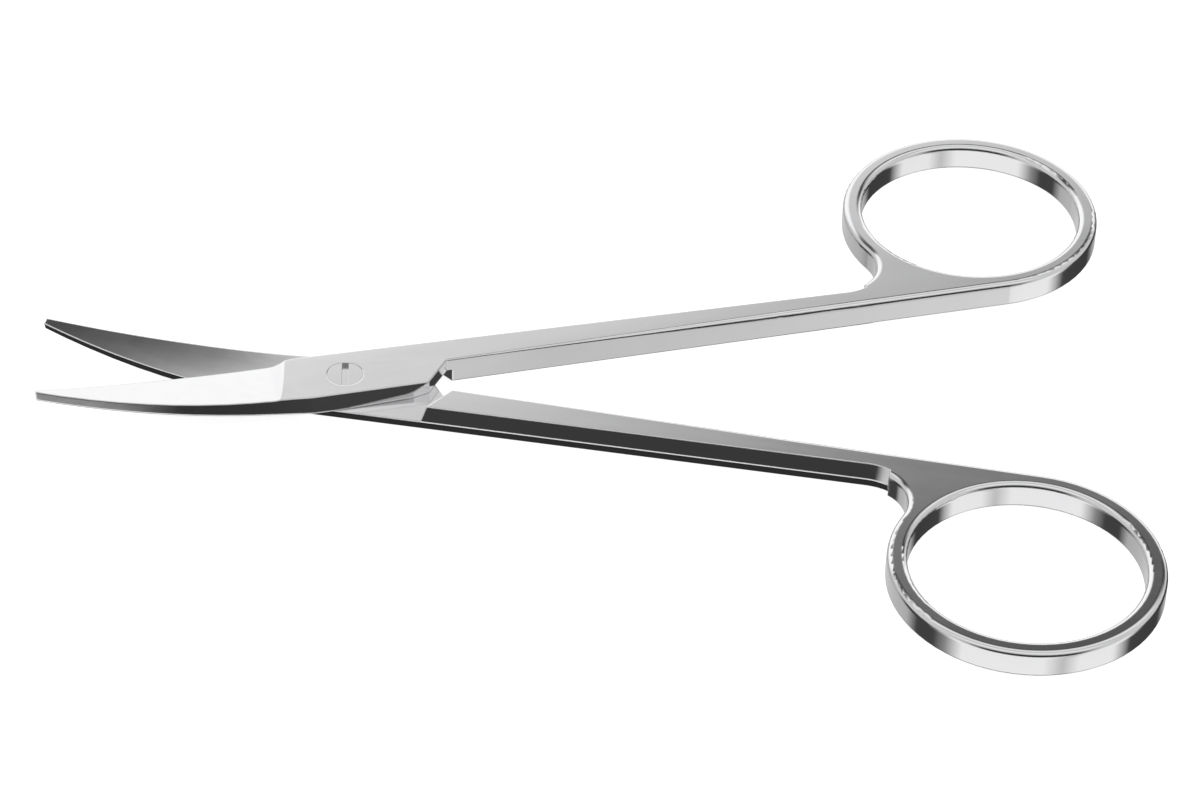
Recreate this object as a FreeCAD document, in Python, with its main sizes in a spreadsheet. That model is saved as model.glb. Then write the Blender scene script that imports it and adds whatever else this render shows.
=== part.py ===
import FreeCAD, Part
import math
import os

import Sketcher
from FreeCAD import Placement, Rotation, Vector

# Curved gum scissors: two forged steel halves that lap at the joint and turn on a slotted screw.
# Each half is drawn along +X from the pivot to its finger ring, with the plate of its lap joint
# above the parting plane z = 0. The lower half is then turned over, and both are set open.

doc = FreeCAD.newDocument("gum_scissors")
sheet = doc.addObject("Spreadsheet::Sheet", "Sizes")

SIZES = {
    # whole instrument
    "half_opening": 12.7,
    "plate_thickness": 1.4,
    "face_clearance": 0.01,
    "side_clearance": 0.05,
    # finger ring
    "ring_distance": 70.5,
    "ring_outer_radius": 13.5,
    "ring_wall": 2.0,
    "ring_edge_round": 0.6,
    "ring_edge_break": 0.2,
    "neck_radius": 4.5,
    # shank, with a ridge along the middle of its outer side
    "ridge_width": 4.28,
    "ridge_taper": 1.3,
    "ridge_end": 55.7,
    "facet_depth": 0.75,
    "ridge_land": 0.06,
    "joint_edge_round": 0.12,
    # lap joint
    "plate_half_width": 3.0,
    "plate_end": 8.0,
    "plate_root": 10.45,
    "flare_end": 6.3,
    "flare_end_width": 0.46,
    "flare_reach": 1.85,
    "flare_width": 0.88,
    "shoulder_reach": 11.1,
    "shoulder_slant": 31.0,
    # blade, seen from above
    "blade_start": 4.0,
    "blade_length": 31.0,
    "spine_root": 3.72,
    "spine_tip": 0.04,
    "spine_bow": 0.34,
    "cut_root": 3.6,
    "cut_tip": 0.96,
    "cut_bow": 0.69,
    "heel_start": 5.3,
    "heel_width": 3.55,
    "heel_reach": 9.3,
    "heel_end_width": 3.0,
    # blade, seen from the side
    "flat_radius": 4.3,
    "lift_radius": 110.0,
    "blade_clearance": 0.15,
    "side_lean": 0.36,
    "ground_start": 7.4,
    "ground_root_thickness": 1.12,
    "ground_tip_thickness": 0.84,
    "ground_cove": 2.5,
    "ground_skew": 6.5,
    "ground_tilt": 3.8,
    # pivot screw
    "screw_radius": 1.1,
    "head_radius": 1.8,
    "head_height": 0.7,
    "running_clearance": 0.015,
    "slot_width": 0.7,
    "slot_depth": 0.4,
}
for row, (name, value) in enumerate(SIZES.items(), start=1):
    sheet.set("A%d" % row, name)
    sheet.set("B%d" % row, str(value))
    sheet.setAlias("B%d" % row, name)
doc.recompute()

# Cutting tools overshoot the steel by this much.
OVERSHOOT = 0.25
# A blade is lofted through this many sections.
BLADE_SECTIONS = 6


def size(name):
    return float(getattr(sheet, name))


def cell(name):
    return "Sizes." + name


def worth(expression):
    """The number that an expression on the sheet gives."""
    value = sheet.evalExpression(str(expression))
    return float(getattr(value, "Value", value))


def slope(name):
    return "tan(%s * 1deg)" % cell(name)


def origin_item(body, role):
    return [item for item in body.Origin.OriginFeatures if item.Role == role][0]


def new_sketch(body, name, role, offset=None):
    """A sketch on an origin plane of the body, moved along the plane's normal by an expression."""
    sketch = body.newObject("Sketcher::SketchObject", name)
    sketch.AttachmentSupport = [(origin_item(body, role), "")]
    sketch.MapMode = "FlatFace"
    if offset is not None:
        sketch.setExpression("AttachmentOffset.Base.z", offset)
    return sketch


def pin_point(sketch, geometry, end, label, across, up):
    """Hold one point of a sketch at two expressions."""
    for kind, expression in (("DistanceX", across), ("DistanceY", up)):
        name = "%s_%s" % (label, kind[-1].lower())
        number = sketch.addConstraint(Sketcher.Constraint(kind, -1, 1, geometry, end, worth(expression)))
        sketch.renameConstraint(number, name)
        sketch.setExpression("Constraints." + name, str(expression))


def pin_radius(sketch, geometry, label, expression):
    number = sketch.addConstraint(Sketcher.Constraint("Radius", geometry, worth(expression)))
    sketch.renameConstraint(number, label)
    sketch.setExpression("Constraints." + label, expression)


def join_ends(sketch, *pairs):
    """Let ends of lines and curves meet, each pair given as (line, end, line, end)."""
    for pair in pairs:
        sketch.addConstraint(Sketcher.Constraint("Coincident", *pair))


def add_circle(sketch, label, across, up, radius):
    centre = Vector(worth(across), worth(up), 0)
    circle = sketch.addGeometry(Part.Circle(centre, Vector(0, 0, 1), worth(radius)))
    pin_point(sketch, circle, 3, label, across, up)
    pin_radius(sketch, circle, label + "_radius", radius)


def polygon(sketch, corners):
    """A closed outline of straight lines whose corners are pairs of expressions."""
    first = sketch.GeometryCount
    spots = [Vector(worth(across), worth(up), 0) for across, up in corners]
    for start, stop in zip(spots, spots[1:] + spots[:1]):
        sketch.addGeometry(Part.LineSegment(start, stop))
    for line in range(len(spots)):
        join_ends(sketch, (first + line, 2, first + (line + 1) % len(spots), 1))
    for line, (across, up) in enumerate(corners, start=first):
        pin_point(sketch, line, 1, "corner%d" % line, across, up)


def add_parabola(sketch, start, stop, start_slope):
    """A parabola between two points that leaves the first at a given slope."""
    bend = Vector((start.x + stop.x) / 2, start.y + start_slope * (stop.x - start.x) / 2, 0)
    curve = Part.BSplineCurve()
    curve.buildFromPolesMultsKnots([start, bend, stop], [3, 3], [0, 1], False, 2)
    return sketch.addGeometry(curve)


def feature(body, kind, name, profile):
    item = body.newObject("PartDesign::" + kind, name)
    item.Profile = profile
    return item


def slanting_cut(body, name, sketch, direction, length, midplane):
    """A pocket that runs along a given direction, also to both sides of its sketch."""
    pocket = feature(body, "Pocket", name, sketch)
    pocket.UseCustomVector = True
    pocket.Direction = direction
    pocket.AlongSketchNormal = False
    pocket.Midplane = midplane
    pocket.setExpression("Length", length)
    doc.recompute()


def edge_numbers(shape, wanted):
    """Numbers of the edges whose ends and middle all pass a test on x, y, z."""
    numbers = []
    for number, edge in enumerate(shape.Edges, start=1):
        middle = edge.valueAt((edge.FirstParameter + edge.LastParameter) / 2)
        spots = [vertex.Point for vertex in edge.Vertexes] + [middle]
        if all(wanted(spot.x, spot.y, spot.z) for spot in spots):
            numbers.append(number)
    return numbers


def near(value, target, slack=0.002):
    return abs(value - target) < slack


# The ridge line of the shank closes on the inner side towards the ring.
def ridge_at(across):
    return "(%s - (%s) * %s)" % (cell("ridge_width"), across, slope("ridge_taper"))


def along_ridge():
    taper = math.radians(size("ridge_taper"))
    return Vector(math.cos(taper), -math.sin(taper), 0)


# Ring centre and outer radius leave the side clearance between the closed halves.
RING_X = cell("ring_distance")
RING_Y = "(%s + %s)" % (cell("side_clearance"), cell("ring_outer_radius"))


def neck_centre():
    """Centre of the hollow that is tangent to the ridge line and to the ring."""
    along = along_ridge()
    normal = Vector(-along.y, along.x, 0)
    hollow = size("neck_radius")
    start = Vector(0, size("ridge_width"), 0) + normal * hollow
    to_ring = Vector(worth(RING_X), worth(RING_Y), 0) - start
    reach = size("ring_outer_radius") + hollow
    return start + along * (to_ring.dot(along) - math.sqrt(reach ** 2 - to_ring.dot(normal) ** 2))


def neck_points():
    """Where the neck hollow meets the ridge line, the ridge's end and the ring."""
    centre = neck_centre()
    hollow = size("neck_radius")
    along = along_ridge()
    on_ridge = centre - Vector(-along.y, along.x, 0) * hollow
    end = size("ridge_end")
    at_end = Vector(end, centre.y - math.sqrt(hollow ** 2 - (end - centre.x) ** 2), 0)
    ring = Vector(worth(RING_X), worth(RING_Y), 0)
    on_ring = centre + (ring - centre).normalize() * hollow
    return on_ridge, at_end, on_ring


def arc_between(centre, radius, start, stop):
    """Counter-clockwise arc about a centre from one point to another."""
    angles = [math.atan2(point.y - centre.y, point.x - centre.x) for point in (start, stop)]
    if angles[1] < angles[0]:
        angles[1] += 2 * math.pi
    return Part.ArcOfCircle(Part.Circle(centre, Vector(0, 0, 1), radius), *angles)


def hold_neck(sketch, neck):
    """The neck hollow keeps its radius and stays tangent to the ring's outer circle."""
    ring_centre = Vector(worth(RING_X), worth(RING_Y), 0)
    ring = sketch.addGeometry(Part.Circle(ring_centre, Vector(0, 0, 1), size("ring_outer_radius")), True)
    pin_point(sketch, ring, 3, "ring_centre", RING_X, RING_Y)
    pin_radius(sketch, ring, "ring_radius", cell("ring_outer_radius"))
    pin_radius(sketch, neck, "neck_hollow", cell("neck_radius"))
    sketch.addConstraint(Sketcher.Constraint("Tangent", neck, ring))


def shank_outline(sketch, inner_start, outer_start):
    """Shank seen from above, from a slanted start line to the ridge's end."""
    on_ridge, at_end, _ = neck_points()
    foot = Vector(size("ridge_end"), size("side_clearance"), 0)
    first = Vector(*[worth(item) for item in inner_start])
    last = Vector(*[worth(item) for item in outer_start])
    inner = sketch.addGeometry(Part.LineSegment(first, foot))
    end = sketch.addGeometry(Part.LineSegment(foot, at_end))
    neck = sketch.addGeometry(arc_between(neck_centre(), size("neck_radius"), on_ridge, at_end))
    ridge = sketch.addGeometry(Part.LineSegment(on_ridge, last))
    start = sketch.addGeometry(Part.LineSegment(last, first))
    join_ends(sketch, (inner, 2, end, 1), (end, 2, neck, 2), (ridge, 2, start, 1), (start, 2, inner, 1))
    sketch.addConstraint(Sketcher.Constraint("Tangent", neck, 1, ridge, 1))
    sketch.addConstraint(Sketcher.Constraint("Vertical", end))
    pin_point(sketch, inner, 1, "inner_start", *inner_start)
    pin_point(sketch, inner, 2, "inner_end", cell("ridge_end"), cell("side_clearance"))
    pin_point(sketch, ridge, 2, "outer_start", *outer_start)
    hold_neck(sketch, neck)


def ridge_triangle(sketch, wall, inward, level):
    """Waste above or below the ridge land, seen along the ridge."""
    lean = "%s / (%s - %s)" % (cell("facet_depth"), cell("plate_thickness"), cell("ridge_land"))
    signs = ("-", "+") if inward > 0 else ("+", "-")
    deep = "%d * (%s + %s)" % (level, cell("plate_thickness"), OVERSHOOT)
    land = "%d * %s" % (level, cell("ridge_land"))
    far = "%s %s %s" % (wall, signs[1], cell("plate_thickness"))
    polygon(sketch, [
        (wall, land),
        ("%s %s (%s + %s * %s)" % (wall, signs[0], cell("facet_depth"), OVERSHOOT, lean), deep),
        (far, deep),
        (far, land),
    ])


def ridge_sketch(body, name, levels):
    sketch = new_sketch(body, name, "YZ_Plane")
    for level in levels:
        ridge_triangle(sketch, cell("ridge_width"), 1, level)
    return sketch


def make_shank(prefix):
    """Shank of full thickness: the plate's end above the parting plane, the shoulder below it."""
    body = doc.addObject("PartDesign::Body", prefix + "_shank")
    gap = cell("side_clearance")
    lean = slope("shoulder_slant")
    meet = "((%s - %s * %s) / (1 - %s * %s))" % (
        cell("shoulder_reach"), cell("ridge_width"), lean, slope("ridge_taper"), lean)
    starts = {
        "plate": ((cell("plate_root"), gap), (cell("plate_end"), ridge_at(cell("plate_end")))),
        "shoulder": (("%s - %s * %s" % (cell("shoulder_reach"), gap, lean), gap), (meet, ridge_at(meet))),
    }
    for level, start in starts.items():
        plan = new_sketch(body, "%s_%s_plan" % (prefix, level), "XY_Plane", cell("face_clearance"))
        shank_outline(plan, *start)
        pad = feature(body, "Pad", "%s_%s_level" % (prefix, level), plan)
        sign = "-" if level == "plate" else "+"
        pad.setExpression("Length", "%s %s %s" % (cell("plate_thickness"), sign, cell("face_clearance")))
        pad.Reversed = level == "shoulder"
    doc.recompute()
    slanting_cut(body, prefix + "_ridge_facets", ridge_sketch(body, prefix + "_ridge_section", (1, -1)),
                 along_ridge(), "%s / cos(%s * 1deg)" % (neck_points()[0].x, cell("ridge_taper")), False)
    centre = neck_centre()
    section = new_sketch(body, prefix + "_neck_section", "XZ_Plane")
    section.AttachmentOffset = Placement(Vector(centre.x, 0, -centre.y), Rotation())
    for level in (1, -1):
        ridge_triangle(section, cell("neck_radius"), -1, level)
    hollow = feature(body, "Groove", prefix + "_neck_facets", section)
    hollow.ReferenceAxis = (section, ["V_Axis"])
    hollow.Angle = 360
    doc.recompute()
    return body


def rounded_shank(prefix, body, top):
    """The long inner edges, crisp at the joint; only the one on top gets as round as the ring's."""
    thick = size("plate_thickness")
    inner = size("side_clearance")
    edges = []
    for side, ring_end in ((top, "ring_edge_round"), (-top, "ring_edge_break")):
        def along_inside(x, y, z):
            return near(z, side * thick) and near(y, inner)

        for number in edge_numbers(body.Shape, along_inside):
            edge = body.Shape.Edges[number - 1]
            radii = [size("joint_edge_round"), size(ring_end)]
            if edge.valueAt(edge.FirstParameter).x > edge.valueAt(edge.LastParameter).x:
                radii.reverse()
            edges.append((number, *radii))
    rounds = doc.addObject("Part::Fillet", prefix + "_shank_rounds")
    rounds.Base = body
    rounds.Edges = edges
    doc.recompute()
    return rounds


def ring_outline(plan):
    """Ring and the end of the neck, with the finger hole inside."""
    _, at_end, on_ring = neck_points()
    foot = Vector(size("ridge_end"), size("side_clearance"), 0)
    centre = Vector(worth(RING_X), worth(RING_Y), 0)
    low = centre - Vector(0, size("ring_outer_radius"), 0)
    hollow = neck_centre()
    inner = plan.addGeometry(Part.LineSegment(foot, low))
    rim = plan.addGeometry(arc_between(centre, size("ring_outer_radius"), low, on_ring))
    neck = plan.addGeometry(arc_between(hollow, size("neck_radius"), at_end, on_ring))
    end = plan.addGeometry(Part.LineSegment(at_end, foot))
    plan.addConstraint(Sketcher.Constraint("Tangent", inner, 2, rim, 1))
    plan.addConstraint(Sketcher.Constraint("Tangent", rim, 2, neck, 2))
    join_ends(plan, (neck, 1, end, 1), (end, 2, inner, 1))
    plan.addConstraint(Sketcher.Constraint("Vertical", end))
    pin_point(plan, inner, 1, "foot", cell("ridge_end"), cell("side_clearance"))
    pin_point(plan, rim, 3, "centre", RING_X, RING_Y)
    pin_radius(plan, rim, "rim", cell("ring_outer_radius"))
    pin_radius(plan, neck, "neck_hollow", cell("neck_radius"))
    plan.addConstraint(Sketcher.Constraint("DistanceY", -1, 1, neck, 3, hollow.y))
    finger_radius = "%s - %s" % (cell("ring_outer_radius"), cell("ring_wall"))
    add_circle(plan, "finger_hole", RING_X, RING_Y, finger_radius)


def make_ring(prefix, top):
    """Finger ring and neck end: rounded on top, with a narrow edge break on the resting side."""
    body = doc.addObject("PartDesign::Body", prefix + "_ring")
    plan = new_sketch(body, prefix + "_ring_plan", "XY_Plane")
    ring_outline(plan)
    block = feature(body, "Pad", prefix + "_ring_block", plan)
    block.Midplane = True
    block.setExpression("Length", "2 * %s" % cell("plate_thickness"))
    doc.recompute()
    for kind, side, amount, name in (("Fillet", top, "Radius", "ring_edge_round"),
                                     ("Chamfer", -top, "Size", "ring_edge_break")):
        level = side * size("plate_thickness")
        rims = edge_numbers(block.Shape, lambda x, y, z: near(z, level))
        seam = edge_numbers(block.Shape, lambda x, y, z: near(x, size("ridge_end")))
        edging = body.newObject("PartDesign::" + kind, "%s_%s" % (prefix, name))
        edging.Base = (block, ["Edge%d" % number for number in rims if number not in seam])
        edging.setExpression(amount, cell(name))
        doc.recompute()
        block = edging
    return body


def lift_at(reach, offset="0"):
    """Rise of the parting surface at a distance from the pivot."""
    return "(pow(%s - (%s) - (%s); 2) / (2 * %s))" % (reach, cell("flat_radius"), offset, cell("lift_radius"))


def along_blade(root, tip, part):
    return "(%s * (1 - %s) + %s * %s)" % (root, part, tip, part)


def flare_lean():
    return "(%s / %s)" % (cell("flare_width"), cell("plate_thickness"))


def add_blade_bar(body, prefix, lift, shift):
    """Bar whose sides lean in, taller than the finished blade."""
    sections = []
    for number in range(BLADE_SECTIONS):
        part = number / (BLADE_SECTIONS - 1)
        bow = 4 * part * (1 - part)
        reach = along_blade(cell("blade_start"), cell("blade_length"), part)
        spine = "(-%s - %s * %s)" % (
            along_blade(cell("spine_root"), "(-%s)" % cell("spine_tip"), part), cell("spine_bow"), bow)
        if number == 0:
            spine = "(-%s - %s - %s)" % (cell("plate_half_width"), cell("flare_width"), cell("face_clearance"))
        cut = "(%s + %s * %s)" % (
            along_blade(cell("cut_root"), cell("cut_tip"), part), cell("cut_bow"), bow)
        spine_lean = along_blade(cell("side_lean"), flare_lean(), (1 - part) ** 3)
        face = "(%d * %s + %s)" % (lift, lift_at(reach, shift), cell("face_clearance"))
        height = "(%s + %s)" % (
            along_blade(cell("plate_thickness"), cell("ground_tip_thickness"), part), OVERSHOOT)
        sketch = new_sketch(body, "%s_blade_section_%d" % (prefix, number), "YZ_Plane", "-(%s)" % reach)
        polygon(sketch, [
            ("%s - %s * %s" % (spine, spine_lean, OVERSHOOT), "%s - %s" % (face, OVERSHOOT)),
            ("%s + %s * %s" % (cut, cell("side_lean"), OVERSHOOT), "%s - %s" % (face, OVERSHOOT)),
            ("%s - %s * %s" % (cut, cell("side_lean"), height), "%s + %s" % (face, height)),
            ("%s + %s * %s" % (spine, spine_lean, height), "%s + %s" % (face, height)),
        ])
        sections.append(sketch)
    doc.recompute()
    bar = feature(body, "AdditiveLoft", prefix + "_blade_bar", sections[0])
    bar.Sections = sections[1:]
    doc.recompute()


def add_joint_plate(body, prefix):
    """Joint plate: its spine side swells towards the blade, and its heel runs into the cutting side."""
    plate = new_sketch(body, prefix + "_plate_plan", "XY_Plane", cell("face_clearance"))
    overlap = "%s + %s" % (cell("plate_root"), cell("joint_edge_round"))
    side_end = "(%s + %s)" % (cell("plate_end"), cell("joint_edge_round"))
    polygon(plate, [
        (cell("plate_root"), cell("side_clearance")),
        (cell("plate_end"), "-" + cell("plate_half_width")),
        (cell("flare_end"), "-(%s + %s)" % (cell("plate_half_width"), cell("flare_end_width"))),
        ("-" + cell("flare_reach"), "-(%s + %s)" % (cell("plate_half_width"), cell("flare_width"))),
        ("-" + cell("blade_start"), "-(%s + %s)" % (cell("plate_half_width"), cell("flare_width"))),
        ("-" + cell("blade_start"), "-%s / 2" % cell("plate_half_width")),
        ("-" + cell("heel_reach"), "-%s / 2" % cell("plate_half_width")),
        ("-" + cell("heel_reach"), cell("heel_end_width")),
        ("-" + cell("heel_start"), cell("heel_width")),
        ("-" + cell("screw_radius"), ridge_at("-" + cell("screw_radius"))),
        (side_end, ridge_at(side_end)),
        (overlap, "%s / 2" % cell("plate_half_width")),
        (overlap, cell("side_clearance")),
    ])
    pad = feature(body, "Pad", prefix + "_joint_plate", plate)
    pad.setExpression("Length", "%s - %s" % (cell("plate_thickness"), cell("face_clearance")))
    doc.recompute()


def cut_parting_surface(body, prefix, lift, shift):
    """Inner face, turned about the pivot: flat at the joint and lifting towards the tip."""
    far = "(1.1 * %s)" % cell("blade_length")
    face = cell("face_clearance")
    flat = "(%s + %s)" % (cell("flat_radius"), shift)
    near_axis = "0.9 * %s" % cell("screw_radius")
    deep = "-(%s + 2 * %s)" % (lift_at(far), cell("plate_thickness"))
    rise = "(%d * %s + %s)" % (lift, lift_at(far, shift), face)
    section = new_sketch(body, prefix + "_parting_section", "YZ_Plane")
    corners = [(far, deep), (near_axis, deep), (near_axis, face), (flat, face), (far, rise)]
    spots = [Vector(worth(across), worth(up), 0) for across, up in corners]
    below, inside, level = [section.addGeometry(Part.LineSegment(*spots[k:k + 2])) for k in range(3)]
    curve = add_parabola(section, spots[3], spots[4], 0.0)
    wall = section.addGeometry(Part.LineSegment(spots[4], spots[0]))
    join_ends(section, (below, 2, inside, 1), (inside, 2, level, 1), (level, 2, curve, 1),
              (curve, 2, wall, 1), (wall, 2, below, 1))
    for line, corner in zip((below, inside, level), corners):
        pin_point(section, line, 1, "corner%d" % line, *corner)
    pin_point(section, level, 2, "flat_end", *corners[3])
    pin_point(section, wall, 1, "far_end", *corners[4])
    surface = feature(body, "Groove", prefix + "_parting_surface", section)
    surface.ReferenceAxis = (section, ["V_Axis"])
    surface.Angle = 180
    doc.recompute()


def cut_ground_face(body, prefix, lift, shift):
    """Hollow-ground outer face, with a cove where it runs out at the shoulder line of the plate."""
    section = new_sketch(body, prefix + "_ground_section", "XZ_Plane")

    def outer_at(reach, thickness):
        return "-" + reach, "(%d * %s + %s)" % (lift, lift_at(reach, shift), cell(thickness))

    root = outer_at(cell("ground_start"), "ground_root_thickness")
    tip = outer_at("(1.03 * %s)" % cell("blade_length"), "ground_tip_thickness")
    crest = "%s + %s" % (cell("plate_thickness"), OVERSHOOT)
    sky = "(%s + 2 * %s)" % (lift_at("(1.1 * %s)" % cell("blade_length")), cell("plate_thickness"))
    foot = Vector(worth(root[0]), worth(root[1]), 0)
    end = Vector(worth(tip[0]), worth(tip[1]), 0)
    cove = size("ground_cove")
    rise = worth(crest) - foot.y
    run = math.sqrt(cove ** 2 - (cove - rise) ** 2)
    edge = foot + Vector(run, rise, 0)
    scoop_middle = foot + Vector(run / 2, cove - math.sqrt(cove ** 2 - run ** 2 / 4), 0)

    outer = add_parabola(section, foot, end, 0.0)
    scoop = section.addGeometry(Part.Arc(foot, scoop_middle, edge))
    wall = section.addGeometry(Part.LineSegment(edge, Vector(edge.x, worth(sky), 0)))
    roof = section.addGeometry(Part.LineSegment(Vector(edge.x, worth(sky), 0), Vector(end.x, worth(sky), 0)))
    side = section.addGeometry(Part.LineSegment(Vector(end.x, worth(sky), 0), end))
    join_ends(section, (outer, 1, scoop, 1), (scoop, 2, wall, 1), (wall, 2, roof, 1),
              (roof, 2, side, 1), (side, 2, outer, 2))
    section.addConstraint(Sketcher.Constraint("Vertical", wall))
    section.addConstraint(Sketcher.Constraint("Horizontal", roof))
    pin_point(section, outer, 1, "root", *root)
    pin_point(section, side, 2, "tip", *tip)
    pin_point(section, side, 1, "roof_end", tip[0], sky)
    pin_point(section, scoop, 2, "crest", edge.x, crest)
    pin_radius(section, scoop, "cove", cell("ground_cove"))
    doc.recompute()
    skew = math.tan(math.radians(size("ground_skew")))
    tilt = math.tan(math.radians(size("ground_tilt")))
    slanting_cut(body, prefix + "_ground_face", section, Vector(skew, 1, -tilt),
                 "8 * %s" % cell("plate_half_width"), True)


def finish_plate(body, prefix):
    """Flat top, ridge facet and flared spine side of the joint plate."""
    top = new_sketch(body, prefix + "_top_section", "XZ_Plane")
    left = "-" + cell("ground_start")
    right = "(%s + %s)" % (cell("plate_root"), cell("plate_thickness"))
    levels = (cell("plate_thickness"), "2 * %s" % cell("plate_thickness"))
    polygon(top, [(left, levels[0]), (right, levels[0]), (right, levels[1]), (left, levels[1])])
    slanting_cut(body, prefix + "_plate_top", top, Vector(0, 1, 0),
                 "8 * %s" % cell("plate_half_width"), True)

    slanting_cut(body, prefix + "_plate_facet", ridge_sketch(body, prefix + "_facet_section", (1,)),
                 along_ridge(), "3 * %s" % cell("plate_root"), True)

    flare = new_sketch(body, prefix + "_flare_section", "YZ_Plane")
    line = "-(%s + %s + %s * (%s - (%s)))"
    heights = ["(%s + %s)" % (cell("plate_thickness"), OVERSHOOT), "(-%s)" % OVERSHOOT]
    outside = "-(%s + 3 * %s)" % (cell("plate_half_width"), cell("flare_width"))
    corners = []
    for height in heights:
        side = line % (cell("plate_half_width"), cell("face_clearance"), flare_lean(),
                       cell("plate_thickness"), height)
        corners.append((side, height))
    corners += [(outside, heights[1]), (outside, heights[0])]
    polygon(flare, corners)
    slanting_cut(body, prefix + "_flared_side", flare, Vector(1, 0, 0),
                 "2 * (%s + %s)" % (cell("plate_end"), OVERSHOOT), True)


def drill(body, name, radius, depth=None):
    """A round hole about the pivot, from the plate's top down."""
    circle = new_sketch(body, name + "_plan", "XY_Plane", cell("plate_thickness"))
    add_circle(circle, "rim", "0", "0", radius)
    hole = feature(body, "Pocket", name, circle)
    if depth is None:
        hole.Type = "ThroughAll"
    else:
        hole.setExpression("Length", depth)
    doc.recompute()


def make_blade(prefix, lift):
    """Blade and joint plate; lift is 1 for a blade that rises from the plate, -1 for one that dips."""
    body = doc.addObject("PartDesign::Body", prefix + "_blade")
    shift = "%d * %s" % (-lift, cell("blade_clearance"))
    add_blade_bar(body, prefix, lift, shift)
    add_joint_plate(body, prefix)
    cut_parting_surface(body, prefix, lift, shift)
    cut_ground_face(body, prefix, lift, shift)
    finish_plate(body, prefix)
    if lift > 0:
        play = cell("running_clearance")
        drill(body, prefix + "_bore", "%s + %s" % (cell("screw_radius"), play))
        drill(body, prefix + "_counterbore", "%s + %s" % (cell("head_radius"), play),
              "%s + %s" % (cell("head_height"), play))
    else:
        drill(body, prefix + "_bore", cell("screw_radius"))
    return body


def make_half(prefix, lift):
    """One forging; the side that ends up on top is the plate's on the upper half only."""
    shank = rounded_shank(prefix, make_shank(prefix), lift)
    half = doc.addObject("Part::MultiFuse", prefix + "_half")
    half.Shapes = [shank, make_ring(prefix, lift), make_blade(prefix, lift)]
    half.Refine = True
    half.Label = prefix + "_half"
    doc.recompute()
    return half


def make_screw():
    """Slotted cheese-head screw, turned about the pivot and cut off flush below."""
    body = doc.addObject("PartDesign::Body", "pivot_screw")
    profile = new_sketch(body, "screw_profile", "XZ_Plane")
    foot = "-" + cell("plate_thickness")
    seat = "%s - %s" % (cell("plate_thickness"), cell("head_height"))
    polygon(profile, [
        ("0", foot),
        (cell("screw_radius"), foot),
        (cell("screw_radius"), seat),
        (cell("head_radius"), seat),
        (cell("head_radius"), cell("plate_thickness")),
        ("0", cell("plate_thickness")),
    ])
    turned = feature(body, "Revolution", "screw_turned", profile)
    turned.ReferenceAxis = (profile, ["V_Axis"])
    turned.Angle = 360
    doc.recompute()
    slot = new_sketch(body, "slot_plan", "XY_Plane", cell("plate_thickness"))
    half = "%s / 2" % cell("slot_width")
    reach = "(%s + %s)" % (cell("head_radius"), OVERSHOOT)
    polygon(slot, [("-" + half, "-" + reach), (half, "-" + reach), (half, reach), ("-" + half, reach)])
    cut = feature(body, "Pocket", "screw_slot", slot)
    cut.setExpression("Length", cell("slot_depth"))
    doc.recompute()
    return body


# The instrument rests on the lower half's underside, at z = 0 of the finished part.
upper = make_half("upper", 1)
lower = make_half("lower", -1)
screw = make_screw()

rise = Vector(0, 0, size("plate_thickness"))
opening = size("half_opening")
turned_over = Rotation(Vector(1, 0, 0), 180)
upper.Placement = Placement(rise, Rotation(Vector(0, 0, 1), opening))
lower.Placement = Placement(rise, Rotation(Vector(0, 0, 1), -opening).multiply(turned_over))
screw.Placement = Placement(rise, Rotation())
doc.recompute()

for item in doc.Objects:
    if "Invalid" in item.State or "Error" in item.State:
        raise RuntimeError("%s is %s" % (item.Name, item.State))

os.makedirs("parts", exist_ok=True)
for item in (upper, lower, screw):
    shape = item.Shape
    if shape.isNull() or not shape.isValid() or len(shape.Solids) != 1:
        raise RuntimeError(item.Label + " is not one valid solid")
    shape.exportStep("parts/%s.step" % item.Label)
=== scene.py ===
import math

import bpy
from mathutils import Matrix, Vector

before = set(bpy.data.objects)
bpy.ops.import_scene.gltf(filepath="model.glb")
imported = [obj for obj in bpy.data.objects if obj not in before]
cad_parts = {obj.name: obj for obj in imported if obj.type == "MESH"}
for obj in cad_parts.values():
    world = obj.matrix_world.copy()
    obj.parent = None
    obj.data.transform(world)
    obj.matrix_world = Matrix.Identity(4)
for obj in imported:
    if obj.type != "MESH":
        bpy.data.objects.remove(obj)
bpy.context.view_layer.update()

scene = bpy.context.scene
scene.view_settings.view_transform = "Standard"

# Camera: a long lens looks down on the scissors from the lower half's side,
# with the blades to the left and the lower finger ring nearest.
camera_aim = Vector((0.02559, -0.00231, 0.0014))
camera_distance = 0.43079
camera_rise = math.radians(38.33)
camera_turn = math.radians(-2.79)
camera_roll = math.radians(1.88)

camera_back = Vector((
    math.sin(camera_turn) * math.cos(camera_rise),
    -math.cos(camera_turn) * math.cos(camera_rise),
    math.sin(camera_rise),
))
level_right = Vector((math.cos(camera_turn), math.sin(camera_turn), 0.0))
level_up = camera_back.cross(level_right)
rolled_right = level_right * math.cos(camera_roll) + level_up * math.sin(camera_roll)
rolled_up = level_up * math.cos(camera_roll) - level_right * math.sin(camera_roll)

camera_data = bpy.data.cameras.new("camera")
camera_data.lens = 128.66
camera_data.sensor_width = 36.0
camera_data.clip_start = 0.02
camera_data.clip_end = 20.0
camera = bpy.data.objects.new("camera", camera_data)
camera.matrix_world = Matrix((rolled_right, rolled_up, camera_back)).transposed().to_4x4()
camera.matrix_world.translation = camera_aim + camera_back * camera_distance
scene.collection.objects.link(camera)
scene.camera = camera


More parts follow.
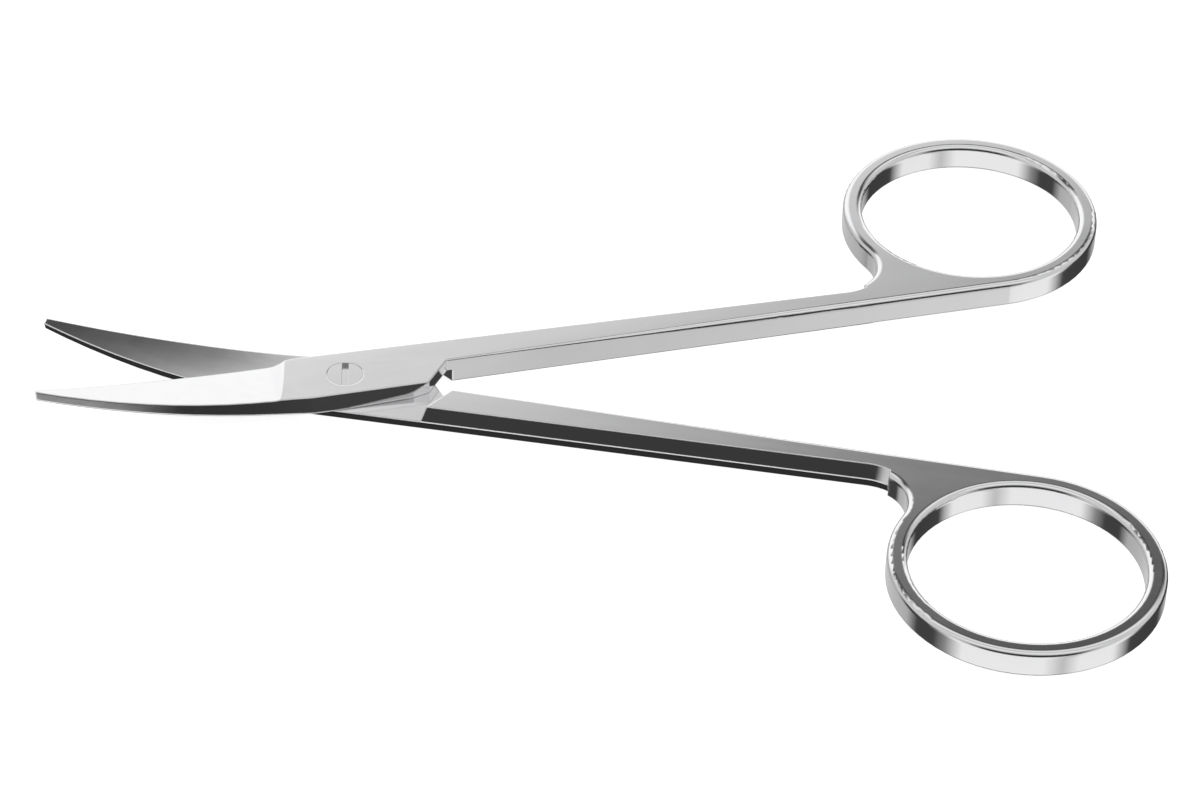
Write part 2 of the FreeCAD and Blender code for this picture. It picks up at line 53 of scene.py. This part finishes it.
# Lower half: one forging of stainless steel from blade tip to finger ring. Its joint plate is
# ground flat, its blade is hollow ground, and all of it is buffed to a mirror by hand.
HALF_OPENING = math.radians(12.7)
STEEL = (0.79, 0.79, 0.80)
# Painted highlight: the lighter steel colour laid on sharp corners stands for edge highlights as
# well as corners worn by handling.
WORN_AND_HIGHLIGHT_STEEL = (0.90, 0.90, 0.90)
BUFFED_CORNER_RADIUS = 0.00018
CORNER_SAMPLES = 8
BUFFING_DEPTH = 0.00002
MARK_DEPTH = 1.0
WAVE_DEPTH = 0.35
DULLNESS = 0.05
# How strongly the corners get that lighter colour: painted edge highlight and worn corners together.
WEAR_AND_EDGE_HIGHLIGHT = 0.35


def new_group(name, inputs, outputs):
    """An empty shader node group with named and typed inputs and outputs."""
    group = bpy.data.node_groups.new(name, "ShaderNodeTree")
    for label, kind, value in inputs:
        socket = group.interface.new_socket(label, in_out="INPUT", socket_type=kind)
        socket.default_value = value
    for label, kind in outputs:
        group.interface.new_socket(label, in_out="OUTPUT", socket_type=kind)
    return group, group.nodes.new("NodeGroupInput"), group.nodes.new("NodeGroupOutput")


def maths(tree, operation, first, second=None):
    """A Math node on two inputs, each a socket or a number."""
    node = tree.nodes.new("ShaderNodeMath")
    node.operation = operation
    for slot, value in enumerate((first, second)):
        if value is None:
            continue
        if isinstance(value, (int, float)):
            node.inputs[slot].default_value = value
        else:
            tree.links.new(value, node.inputs[slot])
    return node.outputs[0]


def noise(tree, vector, scale, detail, roughness):
    """A noise texture's grey value on some coordinates."""
    node = tree.nodes.new("ShaderNodeTexNoise")
    node.inputs["Scale"].default_value = scale
    node.inputs["Detail"].default_value = detail
    node.inputs["Roughness"].default_value = roughness
    tree.links.new(vector, node.inputs["Vector"])
    return node.outputs["Fac"]


def stretched(tree, vector, scale, turn):
    """Coordinates turned about Z and then scaled, so that a noise runs along the piece."""
    turned = tree.nodes.new("ShaderNodeVectorRotate")
    turned.rotation_type = "Z_AXIS"
    tree.links.new(vector, turned.inputs["Vector"])
    tree.links.new(turn, turned.inputs["Angle"])
    mapping = tree.nodes.new("ShaderNodeMapping")
    mapping.inputs["Scale"].default_value = scale
    tree.links.new(turned.outputs[0], mapping.inputs["Vector"])
    return mapping.outputs[0]


# Buffing leaves hair-fine marks along the piece, broad soft waves in the reflections,
# and a few duller patches.
HAIR_SCALE = (60.0, 2600.0, 2600.0)
CROSS_HAIR_SCALE = (1500.0, 90.0, 900.0)
WAVE_SCALE = (70.0, 260.0, 200.0)
PATCH_SCALE = 110.0
CROSS_HAIR_SHARE = 0.4
HAIR_HEIGHT = 0.02
HAIR_DULLNESS = 0.05
PATCH_LEVEL = 0.35
PATCH_DULLNESS = 0.10
LEAST_ROUGHNESS = 0.03
PATCH_TONES = (0.94, 1.04)

buffing, buff_in, buff_out = new_group(
    "buffed_steel",
    [("Turn", "NodeSocketFloat", 0.0), ("Mark Depth", "NodeSocketFloat", 1.0),
     ("Wave Depth", "NodeSocketFloat", 1.0), ("Dullness", "NodeSocketFloat", 0.05)],
    [("Color", "NodeSocketColor"), ("Roughness", "NodeSocketFloat"), ("Height", "NodeSocketFloat")],
)
place = buffing.nodes.new("ShaderNodeTexCoord").outputs["Object"]
along = stretched(buffing, place, HAIR_SCALE, buff_in.outputs["Turn"])
hairs = noise(buffing, along, 1.0, 4.0, 0.6)
crossed = stretched(buffing, place, CROSS_HAIR_SCALE, buff_in.outputs["Turn"])
cross_hairs = noise(buffing, crossed, 1.0, 3.0, 0.5)
broad = stretched(buffing, place, WAVE_SCALE, buff_in.outputs["Turn"])
waves = noise(buffing, broad, 1.0, 1.5, 0.4)
patches = noise(buffing, place, PATCH_SCALE, 4.0, 0.6)
all_hairs = maths(buffing, "ADD", hairs, maths(buffing, "MULTIPLY", cross_hairs, CROSS_HAIR_SHARE))
hair_depth = maths(buffing, "MULTIPLY", buff_in.outputs["Mark Depth"], HAIR_HEIGHT)
hair_height = maths(buffing, "MULTIPLY", all_hairs, hair_depth)
wave_height = maths(buffing, "MULTIPLY", waves, buff_in.outputs["Wave Depth"])
buffing.links.new(maths(buffing, "ADD", hair_height, wave_height), buff_out.inputs["Height"])
dull = maths(buffing, "MULTIPLY", maths(buffing, "SUBTRACT", patches, PATCH_LEVEL), PATCH_DULLNESS)
dull = maths(buffing, "ADD", dull, maths(buffing, "MULTIPLY", hairs, HAIR_DULLNESS))
dull = maths(buffing, "ADD", dull, buff_in.outputs["Dullness"])
dull = maths(buffing, "MAXIMUM", dull, LEAST_ROUGHNESS)
buffing.links.new(dull, buff_out.inputs["Roughness"])
tone = buffing.nodes.new("ShaderNodeMix")
tone.data_type = "RGBA"
for slot, share in zip("AB", PATCH_TONES):
    tone.inputs[slot].default_value = (*[share * value for value in STEEL], 1.0)
buffing.links.new(patches, tone.inputs["Factor"])
buffing.links.new(tone.outputs["Result"], buff_out.inputs["Color"])

# Handling has worn the corners, and a painted highlight goes with it: the base colour is made
# lighter on sharp corners than on the faces between them.
CORNER_POINTINESS = (0.51, 0.58)
WEAR_HIGHLIGHT_BREAK_SCALE = 900.0
WEAR_HIGHLIGHT_EVENNESS = 0.3

edge_wear_and_highlight, wear_highlight_in, wear_highlight_out = new_group(
    "rubbed_and_highlighted_edges",
    [("Color", "NodeSocketColor", (0.8, 0.8, 0.8, 1.0)), ("Amount", "NodeSocketFloat", 0.6)],
    [("Color", "NodeSocketColor")],
)
corner = edge_wear_and_highlight.nodes.new("ShaderNodeMapRange")
corner.inputs["From Min"].default_value = CORNER_POINTINESS[0]
corner.inputs["From Max"].default_value = CORNER_POINTINESS[1]
surface = edge_wear_and_highlight.nodes.new("ShaderNodeNewGeometry")
edge_wear_and_highlight.links.new(surface.outputs["Pointiness"], corner.inputs["Value"])
place = edge_wear_and_highlight.nodes.new("ShaderNodeTexCoord").outputs["Object"]
breaks = noise(edge_wear_and_highlight, place, WEAR_HIGHLIGHT_BREAK_SCALE, 3.0, 0.6)
breaks = maths(edge_wear_and_highlight, "ADD", breaks, WEAR_HIGHLIGHT_EVENNESS)
wear_highlight_mask = maths(edge_wear_and_highlight, "MULTIPLY", corner.outputs["Result"], breaks)
wear_highlight_mask = maths(edge_wear_and_highlight, "MULTIPLY", wear_highlight_mask, wear_highlight_in.outputs["Amount"])
# Painted highlight: sharp corners get the lighter steel colour, partly worn metal and partly edge
# highlights.
rubbed_and_highlighted = edge_wear_and_highlight.nodes.new("ShaderNodeMix")
rubbed_and_highlighted.data_type = "RGBA"
rubbed_and_highlighted.inputs["B"].default_value = (*WORN_AND_HIGHLIGHT_STEEL, 1.0)
edge_wear_and_highlight.links.new(wear_highlight_mask, rubbed_and_highlighted.inputs["Factor"])
edge_wear_and_highlight.links.new(wear_highlight_in.outputs["Color"], rubbed_and_highlighted.inputs["A"])
edge_wear_and_highlight.links.new(rubbed_and_highlighted.outputs["Result"], wear_highlight_out.inputs["Color"])


def polished_steel(name, turn, wear_and_highlight, corner_radius):
    """Mirror-buffed stainless steel whose marks run along a piece turned by an angle."""
    material = bpy.data.materials.new(name)
    material.use_nodes = True
    tree = material.node_tree
    shader = tree.nodes["Principled BSDF"]
    shader.inputs["Metallic"].default_value = 1.0
    finish = tree.nodes.new("ShaderNodeGroup")
    finish.node_tree = buffing
    for label, value in (("Turn", turn), ("Mark Depth", MARK_DEPTH),
                         ("Wave Depth", WAVE_DEPTH), ("Dullness", DULLNESS)):
        finish.inputs[label].default_value = value
    # Painted highlight on the corners, together with corners worn by handling.
    edges = tree.nodes.new("ShaderNodeGroup")
    edges.node_tree = edge_wear_and_highlight
    edges.inputs["Amount"].default_value = wear_and_highlight
    bump = tree.nodes.new("ShaderNodeBump")
    bump.inputs["Strength"].default_value = 1.0
    bump.inputs["Distance"].default_value = BUFFING_DEPTH
    softened = tree.nodes.new("ShaderNodeBevel")
    softened.samples = CORNER_SAMPLES
    softened.inputs["Radius"].default_value = corner_radius
    tree.links.new(softened.outputs["Normal"], bump.inputs["Normal"])
    tree.links.new(finish.outputs["Color"], edges.inputs["Color"])
    tree.links.new(edges.outputs["Color"], shader.inputs["Base Color"])
    tree.links.new(finish.outputs["Roughness"], shader.inputs["Roughness"])
    tree.links.new(finish.outputs["Height"], bump.inputs["Height"])
    tree.links.new(bump.outputs["Normal"], shader.inputs["Normal"])
    return material


def dress(node, material):
    """Give a node of the frame its material and keep its mesh as it is."""
    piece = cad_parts[node]
    piece.data.materials.clear()
    piece.data.materials.append(material)


lower_steel = polished_steel("lower_steel", HALF_OPENING, WEAR_AND_EDGE_HIGHLIGHT, BUFFED_CORNER_RADIUS)
dress("lower_half", lower_steel)


# Upper half: the second forging, the mirror of the lower one in plan. It laps over the lower
# plate and carries the counterbore of the screw.
upper_steel = polished_steel("upper_steel", -HALF_OPENING, WEAR_AND_EDGE_HIGHLIGHT, BUFFED_CORNER_RADIUS)
dress("upper_half", upper_steel)


# Pivot screw: a small slotted screw turned from stainless bar. Its thread holds in the lower
# half and its head was ground flush with the upper plate after fitting.
SCREW_TURNING_SPACING = math.tau * 0.00012
SCREW_TURNING_HEIGHT = 0.006
SCREW_TURNING_WAVER = 0.6
SCREW_CORNER_RADIUS = 0.00003
# The screw gets none of the painted corner highlight.
SCREW_WEAR_AND_HIGHLIGHT = 0.0
# Blender's wave texture passes through this many radians in each unit of its scale.
WAVE_TEXTURE_RADIANS = 20.0

screw_steel = polished_steel("screw_steel", -HALF_OPENING, SCREW_WEAR_AND_HIGHLIGHT, SCREW_CORNER_RADIUS)
tree = screw_steel.node_tree
rings = tree.nodes.new("ShaderNodeTexWave")
rings.wave_type = "RINGS"
rings.rings_direction = "Z"
rings.inputs["Scale"].default_value = math.tau / WAVE_TEXTURE_RADIANS / SCREW_TURNING_SPACING
rings.inputs["Distortion"].default_value = SCREW_TURNING_WAVER
tree.links.new(tree.nodes.new("ShaderNodeTexCoord").outputs["Object"], rings.inputs["Vector"])
turned_height = maths(tree, "MULTIPLY", rings.outputs["Fac"], SCREW_TURNING_HEIGHT)
screw_bump = tree.nodes["Bump"]
finish_height = screw_bump.inputs["Height"].links[0].from_socket
tree.links.new(maths(tree, "ADD", turned_height, finish_height), screw_bump.inputs["Height"])
dress("pivot_screw", screw_steel)


# Studio: a white table under a long bright card behind the scissors and a soft light overhead.
# The side behind the camera stays dark, and gives the sloping side faces their black. What the
# steel mirrors from below comes from the world, so the table is hidden from its reflections.
TABLE_HALF_WIDTH = 1.5
TABLE_GAP = 0.00005
TABLE_GREY = 0.70
TABLE_GLOW = 0.80

floor_mesh = bpy.data.meshes.new("table")
sides = ((-1, -1), (1, -1), (1, 1), (-1, 1))
corners = [(x * TABLE_HALF_WIDTH, y * TABLE_HALF_WIDTH, 0.0) for x, y in sides]
floor_mesh.from_pydata(corners, [], [(0, 1, 2, 3)])
floor = bpy.data.objects.new("table", floor_mesh)
floor.location.z = -TABLE_GAP
floor.visible_glossy = False
scene.collection.objects.link(floor)

white_table = bpy.data.materials.new("white_table")
white_table.use_nodes = True
tree = white_table.node_tree
table_shader = tree.nodes["Principled BSDF"]
table_shader.inputs["Base Color"].default_value = (TABLE_GREY, TABLE_GREY, TABLE_GREY, 1.0)
table_shader.inputs["Roughness"].default_value = 0.9
table_shader.inputs["Specular IOR Level"].default_value = 0.0
table_shader.inputs["Emission Color"].default_value = (1.0, 1.0, 1.0, 1.0)
light_path = tree.nodes.new("ShaderNodeLightPath")
table_glow = maths(tree, "MULTIPLY", light_path.outputs["Is Camera Ray"], TABLE_GLOW)
tree.links.new(table_glow, table_shader.inputs["Emission Strength"])
floor_mesh.materials.append(white_table)


def brightness_by_angle(tree, degrees, first, last, levels):
    """Grey levels along an angle in degrees, between the first and the last one."""
    share = tree.nodes.new("ShaderNodeMapRange")
    share.inputs["From Min"].default_value = first
    share.inputs["From Max"].default_value = last
    tree.links.new(degrees, share.inputs["Value"])
    ramp = tree.nodes.new("ShaderNodeValToRGB")
    ramp.color_ramp.interpolation = "LINEAR"
    stops = ramp.color_ramp.elements
    for number, (stop_angle, level) in enumerate(levels):
        position = (stop_angle - first) / (last - first)
        stop = stops[number] if number < 2 else stops.new(position)
        stop.position = position
        stop.color = (level, level, level, 1.0)
    tree.links.new(share.outputs["Result"], ramp.inputs["Fac"])
    return ramp.outputs["Color"]


def blend(tree, factor, first, second):
    """A colour mix by a factor, where an input may be a socket or a grey level."""
    node = tree.nodes.new("ShaderNodeMix")
    node.data_type = "RGBA"
    tree.links.new(factor, node.inputs["Factor"])
    for slot, value in (("A", first), ("B", second)):
        if isinstance(value, float):
            node.inputs[slot].default_value = (value, value, value, 1.0)
        else:
            tree.links.new(value, node.inputs[slot])
    return node.outputs["Result"]


def between(tree, value, low, high):
    """How far a value has got from low to high, clamped and eased."""
    node = tree.nodes.new("ShaderNodeMapRange")
    node.interpolation_type = "SMOOTHSTEP"
    node.inputs["From Min"].default_value = low
    node.inputs["From Max"].default_value = high
    tree.links.new(value, node.inputs["Value"])
    return node.outputs["Result"]


# Above the table: from the horizon behind the scissors (0) over the top (90) to the horizon
# behind the camera (180). The upper edge of the bright card sinks to the right.
ABOVE = [(0, 1.20), (33, 1.16), (36, 0.98), (37.6, 0.80), (38.6, 0.70), (40, 0.54), (41.3, 0.33),
         (42.7, 0.22), (44.5, 0.13), (46.5, 0.07), (50, 0.07), (64, 0.98), (76, 0.92), (90, 0.52),
         (104, 0.92), (116, 0.98), (134, 0.62), (140, 0.42), (145, 0.06), (180, 0.03)]
CARD_EDGE_SLANT = 33.0
# All those bands meet at the left and right ends, so an even glow takes over there.
SIDE_GLOW = 0.70
SIDE_REACH = (0.50, 0.82)
# Below it: round from the camera's side (0) to the right (90) and to the back (180), with dark
# cards at both sides and the scissors' own shade straight down.
BELOW = [(-180, 0.66), (-118, 0.50), (-104, 0.06), (-84, 0.06), (-72, 0.30), (-56, 1.02), (12, 1.02),
         (28, 0.62), (42, 1.00), (74, 1.00), (92, 0.06), (134, 0.05), (150, 0.42), (180, 0.66)]
SHADE_EDGE = (0.79, 0.90)
SHADE_LEVEL = 0.03
HORIZON_BLUR = 0.06

world = bpy.data.worlds.new("studio")
scene.world = world
world.use_nodes = True
tree = world.node_tree
direction = tree.nodes.new("ShaderNodeSeparateXYZ")
tree.links.new(tree.nodes.new("ShaderNodeTexCoord").outputs["Generated"], direction.inputs[0])
toward_x, toward_y, toward_z = (direction.outputs[axis] for axis in "XYZ")
rise = maths(tree, "MULTIPLY", maths(tree, "ARCTAN2", toward_z, toward_y), math.degrees(1.0))
sideways = maths(tree, "MULTIPLY", toward_x, maths(tree, "MAXIMUM", toward_y, 0.0))
rise = maths(tree, "ADD", rise, maths(tree, "MULTIPLY", sideways, CARD_EDGE_SLANT))
bearing = maths(tree, "ARCTAN2", toward_x, maths(tree, "MULTIPLY", toward_y, -1.0))
bearing = maths(tree, "MULTIPLY", bearing, math.degrees(1.0))
below = brightness_by_angle(tree, bearing, -180.0, 180.0, BELOW)
shaded = between(tree, maths(tree, "MULTIPLY", toward_z, -1.0), *SHADE_EDGE)
below = blend(tree, shaded, below, SHADE_LEVEL)
above = brightness_by_angle(tree, rise, 0.0, 180.0, ABOVE)
to_either_side = between(tree, maths(tree, "ABSOLUTE", toward_x), *SIDE_REACH)
above = blend(tree, to_either_side, above, SIDE_GLOW)
studio = blend(tree, between(tree, toward_z, -HORIZON_BLUR, HORIZON_BLUR), below, above)
seen_by_camera = tree.nodes.new("ShaderNodeLightPath").outputs["Is Camera Ray"]
tree.links.new(blend(tree, seen_by_camera, studio, 1.0), tree.nodes["Background"].inputs["Color"])
